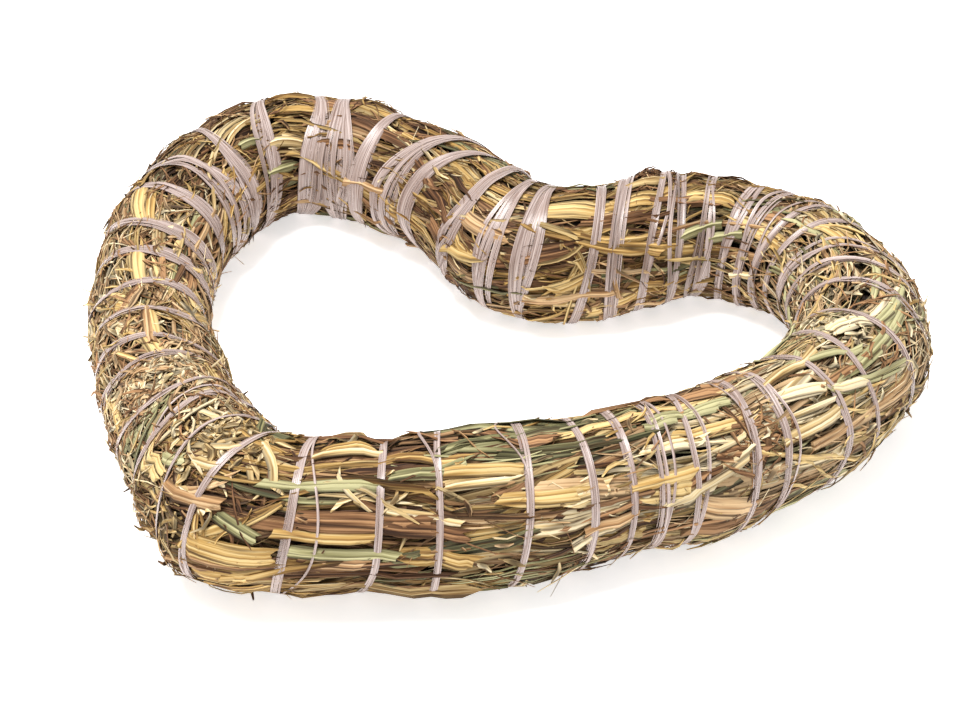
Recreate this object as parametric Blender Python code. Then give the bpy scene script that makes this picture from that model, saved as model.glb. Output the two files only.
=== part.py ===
"""Straw heart ornament.

A ring of packed straw is bent into a heart and wound all round with one length of twine.
Broader stalks and leaf blades lie along it, held down under the turns of the twine.

The heart lies flat with its tip toward -Y. Z is up and the table is at z = 0.
A place on the ring is given by its share of the way round, counterclockwise from the tip,
and by an angle round the bundle: 0 faces outward, 90 is the top, 180 faces the hole.
"""

import math

import bmesh
import bpy
import numpy as np

# Sizes that drive the whole part, in metres
HEART_WIDTH = 0.272
HEART_LENGTH = 0.230
BUNDLE_THICKNESS = 0.041
TWINE_WIDTH = 0.0030
TWINE_THICKNESS = 0.0012
STALK_WIDTH = 0.0045
STALK_THICKNESS = 0.0011
CLEARANCE = 0.0004
STALK_CLEARANCE = 0.0005

# How finely the ring is faceted: sides round the bundle, stations from one turn to the next
SIDES = 14
STATIONS = 3

# The heart's middle line, as shares of its half width and half length
OUTLINE = [
    (-0.102, -1.000), (0.199, -0.875), (0.503, -0.603), (0.834, -0.167),
    (1.000, 0.397), (0.855, 0.844), (0.504, 0.993), (0.206, 0.693),
    (-0.010, 0.588), (-0.204, 0.753), (-0.539, 0.919), (-0.920, 0.887),
    (-0.989, 0.402), (-0.833, -0.144), (-0.531, -0.603), (-0.245, -0.854),
]

# Thickness of the bundle at even steps round the ring, as shares of BUNDLE_THICKNESS
THICKNESS_SHARES = [1.00, 0.97, 0.98, 0.99, 1.08, 1.05, 1.05, 0.90]

# Where each turn of the twine crosses the top of the bundle
TURN_PLACES = [
    0.007, 0.029, 0.057, 0.076, 0.107, 0.128, 0.142, 0.155, 0.168, 0.193, 0.204, 0.228,
    0.249, 0.275, 0.302, 0.318, 0.335, 0.357, 0.370, 0.385, 0.400, 0.419, 0.434, 0.444,
    0.464, 0.475, 0.502, 0.512, 0.529, 0.559, 0.580, 0.618, 0.650, 0.662, 0.697, 0.736,
    0.766, 0.788, 0.816, 0.841, 0.864, 0.887, 0.911, 0.927, 0.952, 0.963, 0.986,
]
TURNS = len(TURN_PLACES)

# How far each turn leans: its inner side is this share further round the ring than its top
TURN_LEANS = [
    0.002, -0.008, -0.004, -0.002, -0.002, -0.002, 0.000, 0.003, 0.004, 0.003, 0.004, -0.006,
    0.004, 0.004, 0.008, 0.012, 0.008, 0.004, 0.004, 0.003, 0.003, -0.001, 0.000, 0.007,
    0.006, -0.002, 0.000, -0.001, 0.001, 0.012, 0.010, -0.005, -0.010, -0.011, 0.013, 0.009,
    -0.006, 0.006, 0.005, 0.002, -0.001, 0.003, 0.006, 0.004, -0.005, -0.009, -0.009,
]

# Depth of the waist under the twine, as a share of the way between the swells beside it
WAIST_SHARE = 0.22
WAIST_LIMIT = 0.055 * BUNDLE_THICKNESS
# How uneven the swells are, and how far apart they are where that is all let through
UNEVENNESS = 0.009 * BUNDLE_THICKNESS
ROOM_FOR_UNEVENNESS = 0.25 * BUNDLE_THICKNESS

# Colours of the materials
STRAW = (0.56, 0.42, 0.17)
GOLDEN = (0.66, 0.46, 0.14)
PALE = (0.72, 0.60, 0.34)
TAN = (0.52, 0.36, 0.19)
BROWN = (0.33, 0.19, 0.09)
GREEN = (0.38, 0.38, 0.19)
TWINE = (0.80, 0.77, 0.80)

# Stalks and blades that lie on top: name, colour, how many times STALK_WIDTH they are wide,
# then share and angle of both ends
STALKS = [
    ("tip_gold_blade", GOLDEN, 1.56, 0.000, 10, 0.028, 8),
    ("tip_tan_stalk", TAN, 0.89, 0.990, 38, 0.014, 42),
    ("front_brown_blade", BROWN, 1.22, 0.030, 40, 0.074, 34),
    ("front_green_stalk", GREEN, 0.78, 0.018, 62, 0.060, 60),
    ("front_yellow_stalk", PALE, 0.78, 0.034, 88, 0.058, 94),
    ("front_lower_green_stalk", GREEN, 0.89, 0.031, 14, 0.064, 10),
    ("front_gold_stalk", GOLDEN, 0.89, 0.078, 68, 0.104, 64),
    ("front_pale_blade", PALE, 1.33, 0.114, 38, 0.134, 42),
    ("front_lower_stalk", TAN, 0.78, 0.119, 8, 0.143, 14),
    ("right_limb_gold_stalk", GOLDEN, 1.00, 0.138, 34, 0.166, 38),
    ("right_limb_green_stalk", GREEN, 0.78, 0.154, 84, 0.186, 86),
    ("right_limb_brown_blade", BROWN, 1.11, 0.172, 46, 0.193, 34),
    ("right_limb_pale_stalk", PALE, 0.89, 0.197, 36, 0.224, 40),
    ("right_limb_upper_stalk", PALE, 0.89, 0.203, 84, 0.238, 92),
    ("right_lobe_long_green_stalk", GREEN, 1.00, 0.232, 62, 0.298, 66),
    ("right_lobe_gold_blade", GOLDEN, 1.33, 0.358, 142, 0.396, 138),
    ("right_lobe_green_stalk", GREEN, 0.89, 0.410, 140, 0.438, 150),
    ("cleft_yellow_blade", GOLDEN, 1.67, 0.468, 116, 0.504, 114),
    ("cleft_yellow_stalk", PALE, 1.00, 0.440, 84, 0.470, 92),
    ("cleft_tan_stalk", TAN, 1.00, 0.466, 190, 0.502, 196),
    ("left_lobe_tan_blade", TAN, 1.44, 0.508, 144, 0.530, 140),
    ("left_lobe_tan_stalk", TAN, 1.00, 0.596, 166, 0.632, 170),
    ("left_lobe_brown_blade", BROWN, 1.33, 0.636, 92, 0.676, 88),
    ("left_limb_green_stalk", GREEN, 1.00, 0.688, 164, 0.726, 160),
    ("left_limb_pale_stalk", PALE, 1.00, 0.676, 144, 0.704, 136),
    ("left_limb_gold_stalk", GOLDEN, 1.11, 0.792, 80, 0.821, 92),
    ("left_limb_brown_blade", BROWN, 1.22, 0.836, 142, 0.872, 138),
    ("left_limb_tan_stalk", TAN, 0.89, 0.886, 90, 0.920, 84),
]


def closed_line(points, per_span=60):
    """A smooth closed line through the points, heading along its neighbours' chord at each."""
    heading = np.roll(points, -1, 0) - np.roll(points, 1, 0)
    heading /= np.linalg.norm(heading, axis=1)[:, None]
    after, heading_after = np.roll(points, -1, 0), np.roll(heading, -1, 0)
    reach = 0.35 * np.linalg.norm(after - points, axis=1)[:, None]
    spans = []
    for u in np.linspace(0, 1, per_span, endpoint=False):
        spans.append((1 - u) ** 3 * points
                     + 3 * (1 - u) ** 2 * u * (points + heading * reach)
                     + 3 * (1 - u) * u ** 2 * (after - heading_after * reach)
                     + u ** 3 * after)
    return np.stack(spans, axis=1).reshape(-1, 2)


def evenly(line, count):
    """The closed line again, as points at even distances along it."""
    ring = np.vstack([line, line[:1]])
    along = np.r_[0, np.cumsum(np.linalg.norm(np.diff(ring, axis=0), axis=1))]
    steps = np.linspace(0, along[-1], count, endpoint=False)
    return np.c_[np.interp(steps, along, ring[:, 0]), np.interp(steps, along, ring[:, 1])], along[-1]


def smoothed(values, spread):
    """The values averaged round the ring with a bell-shaped weight; spread counts samples."""
    offsets = np.arange(-4 * spread, 4 * spread + 1)
    weights = np.exp(-0.5 * (offsets / spread) ** 2)
    total = sum(w * np.roll(values, -k, 0) for k, w in zip(offsets, weights))
    return total / weights.sum()


class Ring:
    """The heart's middle line, with the section's direction and half widths at every share."""

    def __init__(self, count=1400):
        half = np.array([HEART_WIDTH - BUNDLE_THICKNESS, HEART_LENGTH - BUNDLE_THICKNESS]) / 2
        self.middle, self.length = evenly(closed_line(np.array(OUTLINE) * half), count)
        self.shares = np.arange(count + 1) / count
        heading = np.roll(self.middle, -1, 0) - np.roll(self.middle, 1, 0)
        heading /= np.linalg.norm(heading, axis=1)[:, None]
        outward = np.c_[heading[:, 1], -heading[:, 0]]
        spread = round(0.65 * BUNDLE_THICKNESS / self.length * count)
        fanned = smoothed(outward, spread)
        self.across = fanned / np.linalg.norm(fanned, axis=1)[:, None]
        thick = closed_values(THICKNESS_SHARES, self.shares[:-1])
        self.radius = 0.5 * BUNDLE_THICKNESS * thick
        mitred = self.radius / np.maximum((self.across * outward).sum(1), 0.7)
        turn = np.roll(heading, -1, 0) - np.roll(heading, 1, 0)
        hollow_outside = smoothed((turn * outward).sum(1), spread // 4) > 0
        self.half_out = np.where(hollow_outside, mitred, self.radius)
        self.half_in = np.where(hollow_outside, self.radius, mitred)

    def at(self, table, share):
        """The table's value at any share of the way round."""
        closed = np.concatenate([table, table[:1]])
        if closed.ndim == 1:
            return np.interp(share % 1, self.shares, closed)
        return np.array([np.interp(share % 1, self.shares, column) for column in closed.T])

    def point(self, share, angle, height=0.0):
        """The place on the bundle's skin, raised by height."""
        across = self.at(self.across, share)
        radius = self.at(self.radius, share)
        side = self.half_out if math.cos(angle) > 0 else self.half_in
        reach = (self.at(side, share) + height) * math.cos(angle)
        level = radius + (radius + height) * math.sin(angle)
        return np.array([*(self.at(self.middle, share) + across * reach), level])


def closed_values(values, shares):
    """Values at even steps round the ring, joined smoothly from each to the next."""
    count = len(values)
    place = (shares % 1) * count
    first = place.astype(int)
    u = place - first
    v = np.array(values)
    before, here, after, beyond = (v[(first + k) % count] for k in (-1, 0, 1, 2))
    return here + 0.5 * u * (after - before + u * (2 * before - 5 * here + 4 * after - beyond
                             + u * (3 * (here - after) + beyond - before)))


def turn_share(turn, angle):
    """The share of the way round where the twine is at that angle, after so many turns."""
    lap, rest = np.divmod(turn, TURNS)
    place = np.interp(rest, range(TURNS + 1), TURN_PLACES + [TURN_PLACES[0] + 1])
    lean = np.interp(rest, range(TURNS + 1), TURN_LEANS + TURN_LEANS[:1])
    return lap + place - lean * math.cos(angle)


def share_turn(share, angle):
    """The turn that would bring the twine to that share and angle."""
    turns = np.linspace(-TURNS, 2 * TURNS, 60 * TURNS)
    return np.interp(share, turn_share(turns, angle), turns)


class Grid:
    """The bundle's corners: stations follow the twine, so every third one is under it."""

    def __init__(self, ring):
        self.ring = ring
        self.angles = [math.radians(90) + (j + 0.5) * math.tau / SIDES for j in range(SIDES)]
        self.count = TURNS * STATIONS
        plain = [[self.skin(m, j, 0) for j in range(SIDES)] for m in range(self.count)]
        plain = np.array(plain)
        self.room = np.linalg.norm(np.roll(plain, -1, 0) - np.roll(plain, 1, 0), axis=2)
        self.corners = np.array([[self.corner(m, j) for j in range(SIDES)]
                                 for m in range(self.count)])

    def share(self, m, j):
        return turn_share(m / STATIONS + (j + 0.5) / SIDES, self.angles[j])

    def skin(self, m, j, height):
        return self.ring.point(self.share(m, j), self.angles[j], height)

    def corner(self, m, j):
        """One corner of the bundle: sunk under the twine, a little uneven between its turns."""
        underneath = math.sin(self.angles[j]) < -0.9
        if m % STATIONS == 0:
            sunk = min(WAIST_SHARE * self.room[m, j], WAIST_LIMIT)
            if underneath:
                sunk = max(sunk, TWINE_THICKNESS + 2 * CLEARANCE)
            return self.skin(m, j, -sunk)
        uneven = UNEVENNESS * (math.sin(1.9 * m) + math.sin(0.9 * j + 0.7 * m)) / 2
        uneven *= min(1, self.room[m, j] / ROOM_FOR_UNEVENNESS)
        point = self.skin(m, j, uneven)
        if underneath:
            point[2] = 0
        return point

    def get(self, m, j):
        """The corner at any station and side; past the last side it goes on along the twine."""
        lap, side = divmod(j, SIDES)
        return self.corners[(m + lap * STATIONS) % self.count, side]

    def along(self, m, j):
        return unit(self.get(m + 1, j) - self.get(m - 1, j))

    def away(self, m, j):
        """The direction that faces straight away from the skin at a corner."""
        across = self.get(m, j + 1) - self.get(m, j - 1)
        return unit(np.cross(self.along(m, j), across))

    def edge_point(self, m, column, part):
        """A point across one column of facets, at a station that may lie between two."""
        low = math.floor(m)
        ends = [self.get(k, column) * (1 - part) + self.get(k, column + 1) * part
                for k in (low, low + 1)]
        return ends[0] + (ends[1] - ends[0]) * (m - low)


def unit(v):
    return v / np.linalg.norm(v)


def bundle_shape(grid):
    """The packed straw as one closed ring."""
    def index(m, j):
        lap, side = divmod(j, SIDES)
        return (m + lap * STATIONS) % grid.count * SIDES + side
    points = grid.corners.reshape(-1, 3)
    faces = []
    for m in range(grid.count):
        for j in range(SIDES):
            a, b, c, d = index(m, j), index(m + 1, j), index(m + 1, j + 1), index(m, j + 1)
            rise = np.dot(points[a] + points[c] - points[b] - points[d], grid.away(m, j))
            # split along the lower diagonal, so that nothing laid across the facet touches it
            faces += [(a, b, c), (a, c, d)] if rise < 0 else [(a, b, d), (b, c, d)]
    return points, faces


def swept_shape(sections):
    """A closed solid through a row of sections that have the same number of corners."""
    around = len(sections[0])
    faces = [tuple(range(around))[::-1]]
    for k in range(len(sections) - 1):
        for i in range(around):
            a, b = k * around + i, k * around + (i + 1) % around
            faces.append((a, b, b + around, a + around))
    last = (len(sections) - 1) * around
    faces.append(tuple(range(last, last + around)))
    return np.concatenate(sections), faces


def twine_shape(grid, covered):
    """The twine: one turn after another in the waists, and over the stalks that it holds."""
    sections = []
    first = SIDES // 2
    for step in range(first, first + TURNS * SIDES):
        lap, j = divmod(step, SIDES)
        m = lap * STATIONS
        foot, along, away = grid.get(m, j), grid.along(m, j), grid.away(m, j)
        half = 0.5 * min(TWINE_WIDTH, 0.36 * grid.room[m % grid.count, j])
        held = (m % grid.count, j) in covered
        low = CLEARANCE + (STALK_THICKNESS + STALK_CLEARANCE if held else 0)
        top = foot + away * (low + TWINE_THICKNESS)
        sections.append(np.array([foot + away * low, top + along * half, top - along * half]))
    return swept_shape(sections)


def stalk_path(grid, ends):
    """The column of facets that a stalk lies on, and the stations and places that it passes."""
    share_a, angle_a, share_b, angle_b = ends
    if share_b < share_a:
        share_b += 1
    side = 360 / SIDES
    column = round(((angle_a + angle_b) / 2 - 90) / side) - 1
    phase = (column + 1) / SIDES
    middle = 90 + (column + 1) * side
    turns = [share_turn(share, math.radians(middle)) for share in (share_a, share_b)]
    # both ends lie in the middle of a facet
    start, end = (math.floor(STATIONS * (turn - phase)) + 0.5 for turn in turns)
    stations = [start, *range(math.ceil(start), math.ceil(end)), end]
    parts = [0.5 + (angle_a - middle) / side, 0.5 + (angle_b - middle) / side]
    return column, stations, parts


def stalk_shape(grid, width, ends):
    """A flat stalk pressed onto the bundle: it dips under each turn of the twine."""
    column, stations, parts = stalk_path(grid, ends)
    sections = []
    for m in stations:
        go = (m - stations[0]) / (stations[-1] - stations[0])
        span = np.linalg.norm(grid.edge_point(m, column, 1) - grid.edge_point(m, column, 0))
        side_room = 0.5 * (1 - width / span)
        part = parts[0] + (parts[1] - parts[0]) * go
        part = 0.5 + max(-side_room, min(side_room, part - 0.5))
        across = unit(grid.edge_point(m, column, 1) - grid.edge_point(m, column, 0))
        along = unit(grid.edge_point(m + 0.4, column, part) - grid.edge_point(m - 0.4, column, part))
        away = unit(np.cross(along, across))
        taper = 0.62 if m in (stations[0], stations[-1]) else 1.0
        half = 0.5 * min(width, 0.86 * span) * taper
        foot = grid.edge_point(m, column, part) + away * STALK_CLEARANCE
        top = foot + away * STALK_THICKNESS
        sections.append(np.array([foot - across * half, foot + across * half,
                                  top + across * half * 0.74, top - across * half * 0.74]))
    return swept_shape(sections)


def covered_corners(grid):
    """The corners of the waists where the twine has a stalk under it."""
    covered = set()
    for row in STALKS:
        column, stations, _ = stalk_path(grid, row[3:])
        for m in range(math.ceil(stations[0] - 0.5), math.floor(stations[-1] + 0.5) + 1):
            if m % STATIONS == 0:
                for j in (column, column + 1):
                    lap, side = divmod(j, SIDES)
                    covered.add(((m + lap * STATIONS) % grid.count, side))
    return covered


def material(name, colour, roughness):
    made = bpy.data.materials.new(name)
    made.use_nodes = True
    shader = made.node_tree.nodes["Principled BSDF"]
    shader.inputs["Base Color"].default_value = (*colour, 1)
    shader.inputs["Roughness"].default_value = roughness
    shader.inputs["Metallic"].default_value = 0
    return made


def add_piece(name, shape, colour, roughness):
    """One solid as an object of its own, with its faces turned outward."""
    points, faces = shape
    mesh = bpy.data.meshes.new(name)
    mesh.from_pydata([tuple(p) for p in points], [], faces)
    edit = bmesh.new()
    edit.from_mesh(mesh)
    bmesh.ops.triangulate(edit, faces=edit.faces)
    bmesh.ops.recalc_face_normals(edit, faces=edit.faces)
    edit.to_mesh(mesh)
    edit.free()
    piece = bpy.data.objects.new(name, mesh)
    bpy.context.scene.collection.objects.link(piece)
    mesh.materials.append(material(name + "_material", colour, roughness))
    return piece


def main():
    for old in list(bpy.data.objects):
        bpy.data.objects.remove(old)
    grid = Grid(Ring())
    pieces = {"straw_bundle": (bundle_shape(grid), STRAW, 0.75)}
    pieces["binding_twine"] = (twine_shape(grid, covered_corners(grid)), TWINE, 0.35)
    for name, colour, width, *ends in STALKS:
        pieces[name] = (stalk_shape(grid, width * STALK_WIDTH, ends), colour, 0.6)
    every = np.concatenate([shape[0] for shape, _, _ in pieces.values()])
    centre = (every.min(0) + every.max(0)) / 2 * [1, 1, 0]
    for name, ((points, faces), colour, roughness) in pieces.items():
        add_piece(name, (points - centre, faces), colour, roughness)


main()
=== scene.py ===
# %% [markdown]
# # A straw heart
# The real ornament is a ring of packed straw, bent into a heart and wound round with one
# length of shiny plastic twine. It lies flat on a white table.
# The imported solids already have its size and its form. This lesson lays several thousand
# single straws over them, because it is the loose ends, splits and dark gaps between straws
# that make the real thing look like straw and not like a painted tube.

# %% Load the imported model
import math
from itertools import islice

import bmesh
import bpy
import numpy as np
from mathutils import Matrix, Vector
from mathutils.bvhtree import BVHTree


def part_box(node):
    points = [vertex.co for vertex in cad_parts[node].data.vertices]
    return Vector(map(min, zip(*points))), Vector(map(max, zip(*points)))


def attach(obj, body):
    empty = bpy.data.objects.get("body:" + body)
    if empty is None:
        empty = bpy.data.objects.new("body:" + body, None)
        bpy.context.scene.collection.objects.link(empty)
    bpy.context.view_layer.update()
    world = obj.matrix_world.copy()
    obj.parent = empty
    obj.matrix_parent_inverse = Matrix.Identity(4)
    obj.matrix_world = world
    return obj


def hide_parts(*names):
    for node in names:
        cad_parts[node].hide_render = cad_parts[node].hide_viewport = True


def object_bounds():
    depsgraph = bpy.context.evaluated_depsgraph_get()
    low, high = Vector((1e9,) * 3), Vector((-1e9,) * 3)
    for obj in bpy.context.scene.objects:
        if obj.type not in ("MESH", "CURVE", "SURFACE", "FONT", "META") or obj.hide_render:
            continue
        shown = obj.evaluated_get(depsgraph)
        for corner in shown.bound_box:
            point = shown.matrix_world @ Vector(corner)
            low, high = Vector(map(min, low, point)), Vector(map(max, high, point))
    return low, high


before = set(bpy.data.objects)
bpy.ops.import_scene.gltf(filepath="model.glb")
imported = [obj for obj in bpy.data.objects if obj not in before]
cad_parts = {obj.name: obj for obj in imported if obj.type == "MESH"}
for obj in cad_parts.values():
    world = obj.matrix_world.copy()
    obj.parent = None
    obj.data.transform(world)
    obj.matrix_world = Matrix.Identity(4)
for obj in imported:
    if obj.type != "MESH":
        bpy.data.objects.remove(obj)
cad_low, cad_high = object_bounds()
print("solids:", len(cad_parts), "box in metres:", cad_low, cad_high)

# %% [markdown]
# ## Floor, light and camera
# The photo is a product shot on pure white, lit from all round by something soft, so the only
# shadow is the soft line where the straw meets the table. A white world gives that light, the
# table glows a little, as a light table does, so that shadows on it stay pale, and one lamp
# high above adds the highlights and gives each straw a lit and a shaded side. The camera
# stands close, so the front of the heart looks larger than the back.

# %% Floor, light and camera
MILLIMETRE = 0.001
TABLE_WHITE, TABLE_GLOW, STUDIO_GLOW = 0.93, 0.60, 0.68
LAMP_PLACE, LAMP_WIDTH, LAMP_POWER = (-0.15, -0.12, 1.1), 0.50, 19.5


def new_material(name):
    """A material with one Principled shader, and that shader."""
    made = bpy.data.materials.new(name)
    made.use_nodes = True
    return made, made.node_tree.nodes["Principled BSDF"]


def set_inputs(node, values):
    """Sets a node's inputs by their names."""
    for socket_name, value in values.items():
        node.inputs[socket_name].default_value = value


bpy.ops.object.select_all(action="DESELECT")
bpy.ops.mesh.primitive_plane_add(size=6, location=(0, 0, 0))
floor = bpy.context.object
floor.name = "floor"
floor_material, floor_shader = new_material("white_table")
set_inputs(floor_shader, {"Base Color": (TABLE_WHITE, TABLE_WHITE, TABLE_WHITE, 1), "Roughness": 0.9,
                          "Emission Color": (1, 1, 1, 1), "Emission Strength": TABLE_GLOW})
floor.data.materials.append(floor_material)

world = bpy.data.worlds.new("white_studio")
bpy.context.scene.world = world
world.use_nodes = True
set_inputs(world.node_tree.nodes["Background"], {"Color": (1, 1, 1, 1), "Strength": STUDIO_GLOW})

lamp_data = bpy.data.lights.new("lamp_above", "AREA")
lamp_data.size = LAMP_WIDTH
lamp_data.energy = LAMP_POWER
lamp = bpy.data.objects.new("lamp_above", lamp_data)
bpy.context.scene.collection.objects.link(lamp)
lamp.location = LAMP_PLACE
lamp.rotation_euler = (-Vector(LAMP_PLACE)).to_track_quat("-Z", "Y").to_euler()

AZIMUTH, ELEVATION = math.radians(25.564), math.radians(33.781)
DISTANCE = 0.4466
AIM = (0.00296, 0.01968, 0.0)
SENSOR_WIDTH, LENS, NEAREST = 36, 52.5, 0.01
bpy.context.scene.view_settings.view_transform = "Standard"
camera_data = bpy.data.cameras.new("camera")
camera_data.sensor_width = SENSOR_WIDTH
camera_data.lens = LENS
camera_data.clip_start = NEAREST
camera = bpy.data.objects.new("camera", camera_data)
bpy.context.scene.collection.objects.link(camera)
bpy.context.scene.camera = camera
back = Vector((math.sin(AZIMUTH) * math.cos(ELEVATION),
               -math.cos(AZIMUTH) * math.cos(ELEVATION), math.sin(ELEVATION)))
camera.rotation_euler = back.to_track_quat("Z", "Y").to_euler()

# %% [markdown]
# ## Finding a place on the ring
# Every straw needs a place on a curved bundle. It is easiest to give one by its share of the
# way round, from 0 to 1 counterclockwise from the tip, an angle round the bundle (0 faces
# outward, 90 the sky, 180 the hole) and a height above the skin. The sizes and the list of
# turns are the solids' own, so what is laid here fits them, and the last line measures that.

# %% The ring's middle line
HEART_WIDTH = 0.272
HEART_LENGTH = 0.230
BUNDLE_THICKNESS = 0.041
OUTLINE = np.array([
    (-0.102, -1.000), (0.199, -0.875), (0.503, -0.603), (0.834, -0.167),
    (1.000, 0.397), (0.855, 0.844), (0.504, 0.993), (0.206, 0.693),
    (-0.010, 0.588), (-0.204, 0.753), (-0.539, 0.919), (-0.920, 0.887),
    (-0.989, 0.402), (-0.833, -0.144), (-0.531, -0.603), (-0.245, -0.854),
])
THICKNESS_SHARES = np.array([1.00, 0.97, 0.98, 0.99, 1.08, 1.05, 1.05, 0.90])
TURN_PLACES = np.array([
    7, 29, 57, 76, 107, 128, 142, 155, 168, 193, 204, 228, 249, 275, 302, 318,
    335, 357, 370, 385, 400, 419, 434, 444, 464, 475, 502, 512, 529, 559, 580, 618,
    650, 662, 697, 736, 766, 788, 816, 841, 864, 887, 911, 927, 952, 963, 986,
]) / 1000
TURN_LEANS = np.array([
    2, -8, -4, -2, -2, -2, 0, 3, 4, 3, 4, -6, 4, 4, 8, 12,
    8, 4, 4, 3, 3, -1, 0, 7, 6, -2, 0, -1, 1, 12, 10, -5,
    -10, -11, 13, 9, -6, 6, 5, 2, -1, 3, 6, 4, -5, -9, -9,
]) / 1000
TURNS = len(TURN_PLACES)
SAMPLES = 1400
HANDLE = 0.35
SPAN_STEPS = 60
FAN_LENGTH = 0.65
LEAST_MITRE = 0.7


def middle_line():
    """The heart's middle line as points at even distances, and its length."""
    half = np.array([HEART_WIDTH - BUNDLE_THICKNESS, HEART_LENGTH - BUNDLE_THICKNESS]) / 2
    points = OUTLINE * half
    heading = np.roll(points, -1, 0) - np.roll(points, 1, 0)
    heading /= np.linalg.norm(heading, axis=1)[:, None]
    after, heading_after = np.roll(points, -1, 0), np.roll(heading, -1, 0)
    reach = HANDLE * np.linalg.norm(after - points, axis=1)[:, None]
    spans = [(1 - u) ** 3 * points + 3 * (1 - u) ** 2 * u * (points + heading * reach)
             + 3 * (1 - u) * u ** 2 * (after - heading_after * reach) + u ** 3 * after
             for u in np.linspace(0, 1, SPAN_STEPS, endpoint=False)]
    line = np.stack(spans, axis=1).reshape(-1, 2)
    line = np.vstack([line, line[:1]])
    along = np.r_[0, np.cumsum(np.linalg.norm(np.diff(line, axis=0), axis=1))]
    steps = np.linspace(0, along[-1], SAMPLES, endpoint=False)
    return np.c_[np.interp(steps, along, line[:, 0]), np.interp(steps, along, line[:, 1])], along[-1]


def smoothed(values, spread):
    """Values averaged round the ring with a bell-shaped weight."""
    offsets = np.arange(-4 * spread, 4 * spread + 1)
    weights = np.exp(-0.5 * (offsets / spread) ** 2)
    return sum(w * np.roll(values, -k, 0) for k, w in zip(offsets, weights)) / weights.sum()


def closed_values(values, shares):
    """Values at even steps round the ring, joined smoothly from each to the next."""
    place = (shares % 1) * len(values)
    first = place.astype(int)
    u = place - first
    before, here, after, beyond = (values[(first + k) % len(values)] for k in (-1, 0, 1, 2))
    return here + 0.5 * u * (after - before + u * (2 * before - 5 * here + 4 * after - beyond
                             + u * (3 * (here - after) + beyond - before)))


MIDDLE, RING_LENGTH = middle_line()
SHARES = np.arange(SAMPLES + 1) / SAMPLES
RADIUS = 0.5 * BUNDLE_THICKNESS * closed_values(THICKNESS_SHARES, SHARES[:-1])
heading = np.roll(MIDDLE, -1, 0) - np.roll(MIDDLE, 1, 0)
heading /= np.linalg.norm(heading, axis=1)[:, None]
outward = np.c_[heading[:, 1], -heading[:, 0]]
fan_spread = round(FAN_LENGTH * BUNDLE_THICKNESS / RING_LENGTH * SAMPLES)
ACROSS = smoothed(outward, fan_spread)
ACROSS /= np.linalg.norm(ACROSS, axis=1)[:, None]
mitred = RADIUS / np.maximum((ACROSS * outward).sum(1), LEAST_MITRE)
bending = ((np.roll(heading, -1, 0) - np.roll(heading, 1, 0)) * outward).sum(1)
hollow_outside = smoothed(bending, fan_spread // 4) > 0
HALF_OUT = np.where(hollow_outside, mitred, RADIUS)
HALF_IN = np.where(hollow_outside, RADIUS, mitred)
print("length of the ring's middle line:", round(RING_LENGTH, 4))


# %% The skin and the waists under the twine
def at(table, share):
    """The table's value at any share of the way round."""
    return np.interp(share % 1, SHARES, np.append(table, table[0]))


def bare_skin(share, angle, height=0.0):
    """A place on the smooth bundle, raised by height. Angles are in radians."""
    cosine, sine = np.cos(angle), np.sin(angle)
    radius = at(RADIUS, share)
    reach = (np.where(cosine > 0, at(HALF_OUT, share), at(HALF_IN, share)) + height) * cosine
    return np.stack([at(MIDDLE[:, 0], share) + at(ACROSS[:, 0], share) * reach,
                     at(MIDDLE[:, 1], share) + at(ACROSS[:, 1], share) * reach,
                     radius + (radius + height) * sine], axis=-1)


LAPS = np.arange(-TURNS, 2 * TURNS)
LAP_PLACES = TURN_PLACES[LAPS % TURNS] + LAPS // TURNS
LAP_LEANS = TURN_LEANS[LAPS % TURNS]


def turn_share(turn, angle):
    """The share of the way round where the twine is at that angle, after so many turns."""
    return np.interp(turn, LAPS, LAP_PLACES) - np.interp(turn, LAPS, LAP_LEANS) * np.cos(angle)


def turn_at(share, angle):
    """The turn that would bring the twine to that share and angle."""
    turn = np.interp(share, LAP_PLACES, LAPS)
    for _ in range(5):
        lean = np.interp(turn, LAPS, LAP_LEANS) * np.cos(angle)
        turn = np.interp(share + lean, LAP_PLACES, LAPS)
    return turn


def stretch(share, angle):
    """How much longer the skin is there than the middle line, along the ring."""
    step = 0.001
    way = bare_skin(share + step, angle) - bare_skin(share - step, angle)
    return np.linalg.norm(way, axis=-1) / (2 * step * RING_LENGTH)


def off_twine(share, angle):
    """The turn nearest to a place, how far off its line in turns, and the gap between turns."""
    turn = turn_at(share, angle)
    phase = turn - (angle - math.pi / 2) / math.tau
    gap = np.interp(turn + 0.5, LAPS, LAP_PLACES) - np.interp(turn - 0.5, LAPS, LAP_PLACES)
    return turn, phase - np.round(phase), gap


def eased(way):
    """A way from 0 to 1 that starts and ends gently."""
    return way * way * (3 - 2 * way)


WAIST_DEPTH = 0.02 * BUNDLE_THICKNESS
WAIST_SLOPE = 0.22


def waist(share, angle):
    """How far the straw is drawn in there by the nearest turn, up to a third of a turn away."""
    _, off, gap = off_twine(share, angle)
    room = gap * RING_LENGTH * stretch(share, angle) * 2 / 3
    return -np.minimum(WAIST_SLOPE * room, WAIST_DEPTH) * eased(np.clip(1 - 3 * np.abs(off), 0, 1))


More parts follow.
